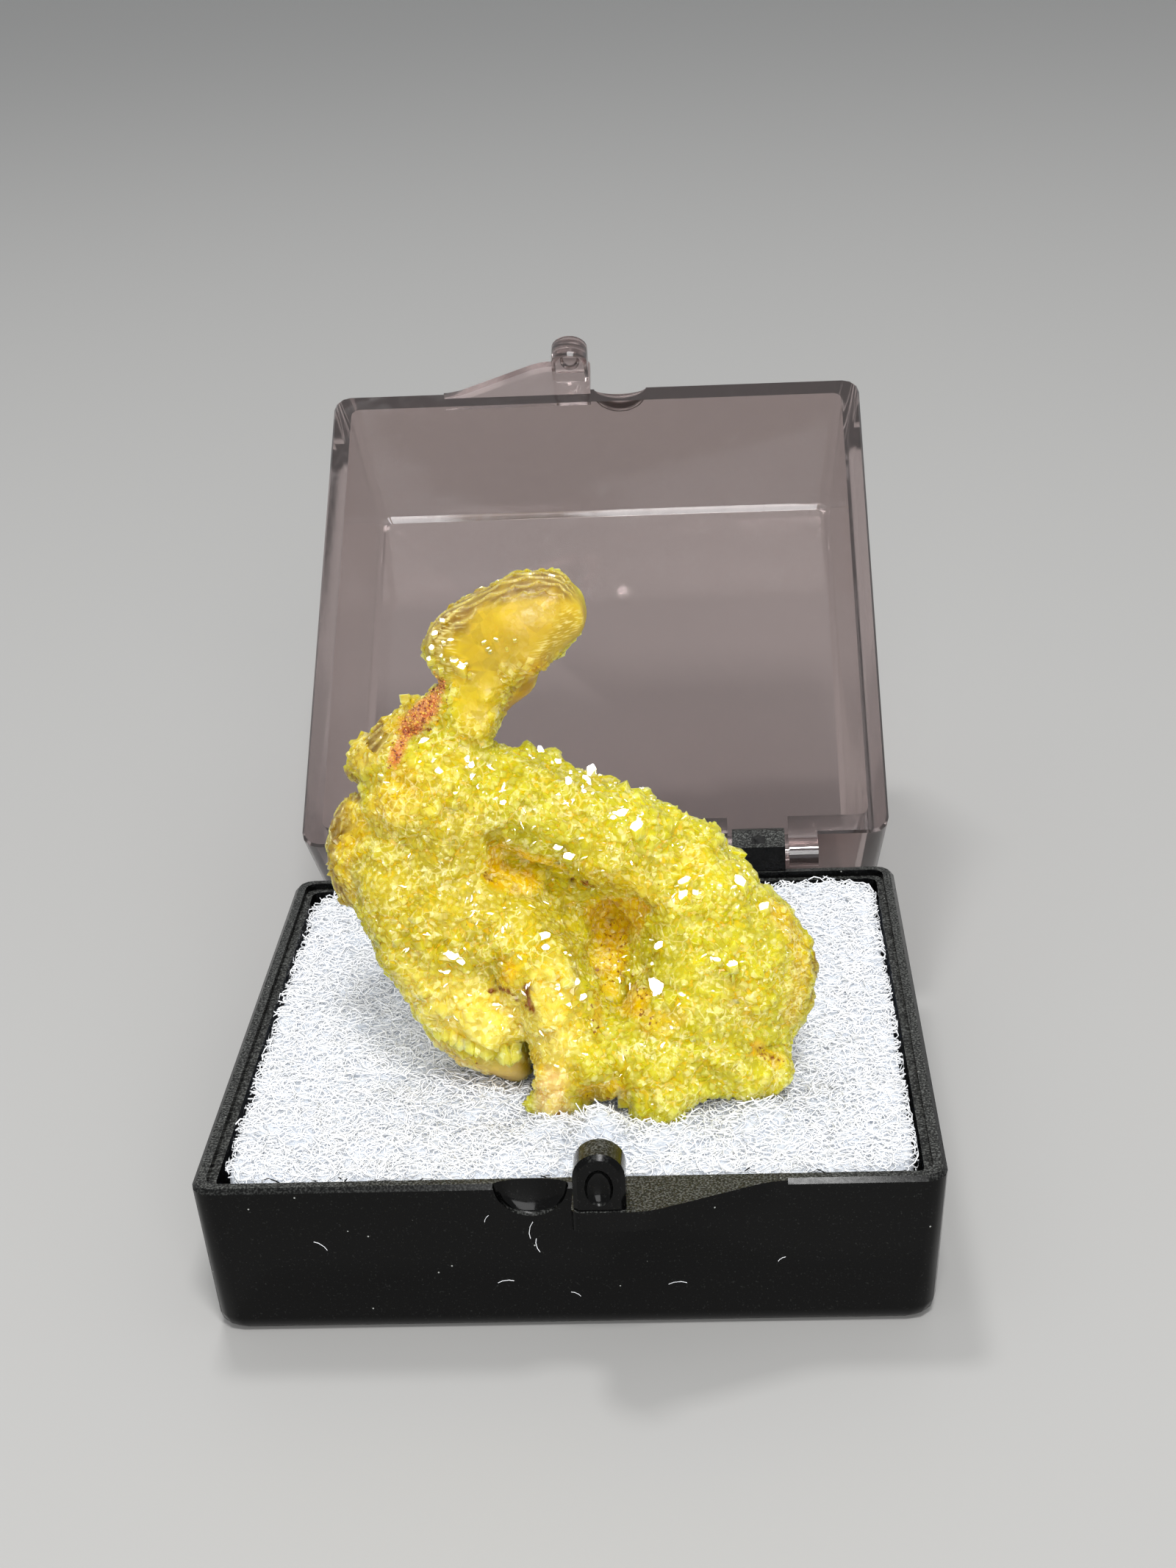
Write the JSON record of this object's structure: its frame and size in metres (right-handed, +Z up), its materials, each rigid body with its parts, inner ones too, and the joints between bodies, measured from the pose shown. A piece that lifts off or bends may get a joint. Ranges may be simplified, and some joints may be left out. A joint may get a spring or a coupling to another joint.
{
  "type": "boxed adamite specimen",
  "caption": "Yellow-green adamite crystal cluster standing on a white fibre pad in a small black hinged display box, clear lid open.",
  "frame": {"origin": "centre of the flat underside of the tray", "axes": "+Z up out of the tray, -Y towards the latch side, +X to the right seen from the latch side, along the hinge"},
  "size_m": [0.041, 0.0866, 0.0393],
  "materials": {
    "black_plastic": "moulded polystyrene, glossy",
    "white_fibre": "loose curled polyester fibre",
    "adamite_crystal": "translucent crystal crust, vitreous",
    "clear_plastic": "clear moulded polystyrene"
  },
  "bodies": {
    "base": {"tray": "black_plastic", "pad": "white_fibre", "adamite": "adamite_crystal"},
    "lid": {"lid": "clear_plastic"}
  },
  "joints": [
    {"name": "lid_hinge", "type": "hinge", "parent": "base", "child": "lid", "pos_m": [0, 0.0218, 0.01005], "axis": [1, 0, 0], "range_deg": [0, 112]}
  ]
}
